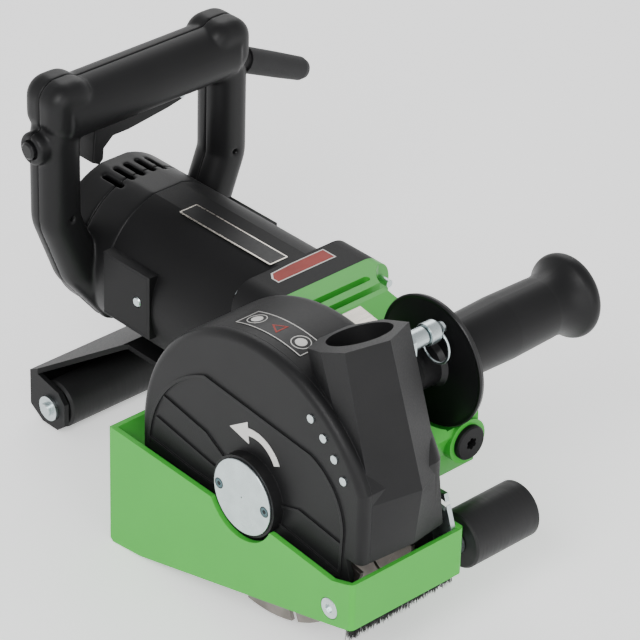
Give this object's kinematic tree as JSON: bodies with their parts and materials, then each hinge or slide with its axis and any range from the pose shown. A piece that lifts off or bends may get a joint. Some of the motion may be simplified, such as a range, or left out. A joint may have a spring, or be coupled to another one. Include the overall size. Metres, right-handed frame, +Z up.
{
  "type": "wall chaser",
  "caption": "Twin-disc wall chaser: hooded cutting discs on a hinged skid frame, angle gear head, motor, rear D handle and side handle.",
  "frame": {"origin": "centre of the bounding box's bottom face, on the surface that the machine stands on", "axes": "+X to the machine's right, +Y towards its rear handle, +Z up"},
  "size_m": [0.2353, 0.318, 0.2195],
  "materials": {
    "black_casting": "satin powder coat",
    "green_paint": "gloss powder coat",
    "green_sheet": "gloss powder coat",
    "black_sheet": "satin",
    "housing_plastic": "fine grain",
    "handle_plastic": "fine grain",
    "guard_plastic": "smooth",
    "sleeve_rubber": "matte",
    "roller_plastic": "turned, matte",
    "zinc_steel": "bright zinc plate",
    "machined_steel": "machined",
    "disc_steel": "ground",
    "core_steel": "stacked sheet",
    "copper_wire": "enamelled copper",
    "brass_tube": "plain",
    "carbon": "matte",
    "bristles": "fibres",
    "label_print": "printed film",
    "plate_metal": "brushed"
  },
  "bodies": {
    "machine": {"hood_body": "black_casting", "hood_cover": "black_casting", "gear_case": "green_paint", "roller_bracket": "black_sheet", "motor_housing": "housing_plastic", "brush_covers": "housing_plastic", "gear_plug": "housing_plastic", "handle_front": "handle_plastic", "handle_rear": "handle_plastic", "side_grip": "handle_plastic", "hand_guard": "guard_plastic", "cable_sleeve": "sleeve_rubber", "hub_cap": "zinc_steel", "cover_screws": "zinc_steel", "case_screws": "zinc_steel", "handle_screws": "zinc_steel", "pivot_bolts": "zinc_steel", "depth_screw": "zinc_steel", "roller_axle": "zinc_steel", "handle_stud": "zinc_steel", "trigger_pin": "zinc_steel", "latch_body": "zinc_steel", "cover_rivets": "zinc_steel", "spindle_bearings": "machined_steel", "lay_bearings": "machined_steel", "motor_bearings": "machined_steel", "bearing_flange": "machined_steel", "stator": "core_steel", "field_coils": "copper_wire", "brush_holders": "brass_tube", "brushes": "carbon", "switch_body": "carbon", "hood_label": "label_print", "turning_arrow": "label_print", "blank_plates": "plate_metal"},
    "skid_frame": {"skid_frame": "green_sheet", "brush_strip": "bristles", "depth_quadrant": "zinc_steel"},
    "spindle": {"spindle": "machined_steel", "spindle_gear": "machined_steel", "disc_left": "disc_steel", "disc_right": "disc_steel", "spacer_rings": "machined_steel", "inner_flange": "machined_steel", "clamp_nut": "machined_steel"},
    "lay_shaft": {"lay_shaft": "machined_steel", "lay_pinion": "machined_steel", "bevel_wheel": "machined_steel"},
    "armature": {"armature": "core_steel", "commutator": "copper_wire", "fan": "guard_plastic", "bevel_pinion": "machined_steel"},
    "front_roller": {"front_roller": "roller_plastic"},
    "inner_wheel": {"inner_wheel": "roller_plastic"},
    "rear_roller": {"rear_roller": "roller_plastic"},
    "trigger": {"trigger": "handle_plastic"},
    "lock_button": {"lock_button": "guard_plastic"},
    "latch_pin": {"latch_pin": "zinc_steel", "latch_spring": "zinc_steel"},
    "latch_ring": {"latch_ring": "zinc_steel"}
  },
  "joints": [
    {"name": "frame_pivot", "type": "hinge", "parent": "machine", "child": "skid_frame", "pos_m": [-0.0785, -0.1405, 0.0494], "axis": [1, 0, 0], "range_deg": [-15, 0]},
    {"name": "spindle_spin", "type": "hinge", "parent": "machine", "child": "spindle", "pos_m": [-0.0765, -0.073, 0.081], "axis": [1, 0, 0], "continuous": true},
    {"name": "lay_shaft_spin", "type": "hinge", "parent": "machine", "child": "lay_shaft", "pos_m": [-0.0215, -0.05, 0.097], "axis": [1, 0, 0], "continuous": true},
    {"name": "armature_spin", "type": "hinge", "parent": "machine", "child": "armature", "pos_m": [-0.0065, 0.047, 0.097], "axis": [0, 1, 0], "continuous": true},
    {"name": "front_roller_spin", "type": "hinge", "parent": "machine", "child": "front_roller", "pos_m": [-0.0045, -0.1405, 0.0494], "axis": [1, 0, 0], "continuous": true},
    {"name": "inner_wheel_spin", "type": "hinge", "parent": "machine", "child": "inner_wheel", "pos_m": [-0.1115, -0.1405, 0.0494], "axis": [1, 0, 0], "continuous": true},
    {"name": "rear_roller_spin", "type": "hinge", "parent": "machine", "child": "rear_roller", "pos_m": [-0.0065, 0.135, 0.014], "axis": [1, 0, 0], "continuous": true},
    {"name": "trigger_squeeze", "type": "hinge", "parent": "machine", "child": "trigger", "pos_m": [0.0155, 0.136, 0.186], "axis": [0, 1, 0], "range_deg": [0, 7], "stiffness_Nm_per_rad": 0.3, "springref_deg": -6.88},
    {"name": "lock_button_press", "type": "slide", "parent": "machine", "child": "lock_button", "axis": [1, 0, 0], "range_m": [0, 0.003], "stiffness_N_per_m": 400, "springref_m": -0.002},
    {"name": "latch_pull", "type": "slide", "parent": "machine", "child": "latch_pin", "axis": [1, 0, 0], "range_m": [0, 0.004], "stiffness_N_per_m": 500, "springref_m": -0.004},
    {"name": "latch_ring_swing", "type": "hinge", "parent": "latch_pin", "child": "latch_ring", "pos_m": [-0.0285, -0.1195, 0.168], "axis": [0, 1, 0], "range_deg": [-12, 10]}
  ],
  "couplings": [
    {"joint": "lay_shaft_spin", "follows": "spindle_spin", "ratio": -1.8571},
    {"joint": "armature_spin", "follows": "spindle_spin", "ratio": -3.7143}
  ]
}
